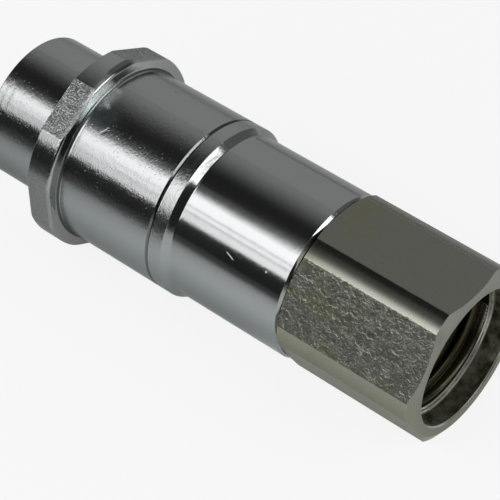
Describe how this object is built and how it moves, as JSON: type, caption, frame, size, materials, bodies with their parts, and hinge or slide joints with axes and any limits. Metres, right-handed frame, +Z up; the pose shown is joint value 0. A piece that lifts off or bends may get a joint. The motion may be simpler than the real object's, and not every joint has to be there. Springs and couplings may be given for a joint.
{
  "type": "hydraulic quick coupler",
  "caption": "Screw-to-connect hydraulic coupler half: threaded union sleeve with hex collar, round valve body with sprung poppet, and hex adapter with female pipe port.",
  "frame": {"origin": "on the coupler's axis, where the port's thread begins", "axes": "+X along the axis, out of the port; +Z up with the coupler lying on its side, a flat of the port hex facing down"},
  "size_m": [0.1327, 0.0506, 0.052],
  "materials": {
    "bright_zinc": "bright zinc plated, turned and polished",
    "olive_zinc": "olive zinc-nickel plated over raw hex bar",
    "machined_steel": "machined, oiled",
    "spring_steel": "drawn spring steel",
    "bronze": "plain bearing bronze",
    "black_rubber": "moulded seal rubber",
    "white_plastic": "hard bearing plastic"
  },
  "bodies": {
    "body": {"valve_body": "bright_zinc", "hex_adapter": "olive_zinc", "adapter_o_ring": "black_rubber", "adapter_backup_ring": "white_plastic", "plug_o_ring": "black_rubber", "plug_backup_ring": "white_plastic", "retaining_wire": "spring_steel", "slide_ring_front": "white_plastic", "slide_ring_rear": "white_plastic", "sleeve_wiper": "black_rubber", "valve_guide": "machined_steel", "guide_bush": "bronze", "guide_circlip": "spring_steel", "spring_washer": "spring_steel", "valve_spring": "spring_steel"},
    "sleeve": {"coupling_sleeve": "bright_zinc"},
    "valve": {"poppet": "machined_steel", "poppet_seal": "black_rubber", "seal_retainer": "machined_steel", "stem_clip": "spring_steel"}
  },
  "joints": [
    {"name": "sleeve_turn", "type": "hinge", "parent": "body", "child": "sleeve", "pos_m": [-0.0985, 0, 0], "axis": [1, 0, 0], "continuous": true},
    {"name": "poppet_slide", "type": "slide", "parent": "body", "child": "valve", "axis": [1, 0, 0], "range_m": [0, 0.007], "stiffness_N_per_m": 10000, "springref_m": -0.003, "deforming": ["valve_spring"]}
  ]
}
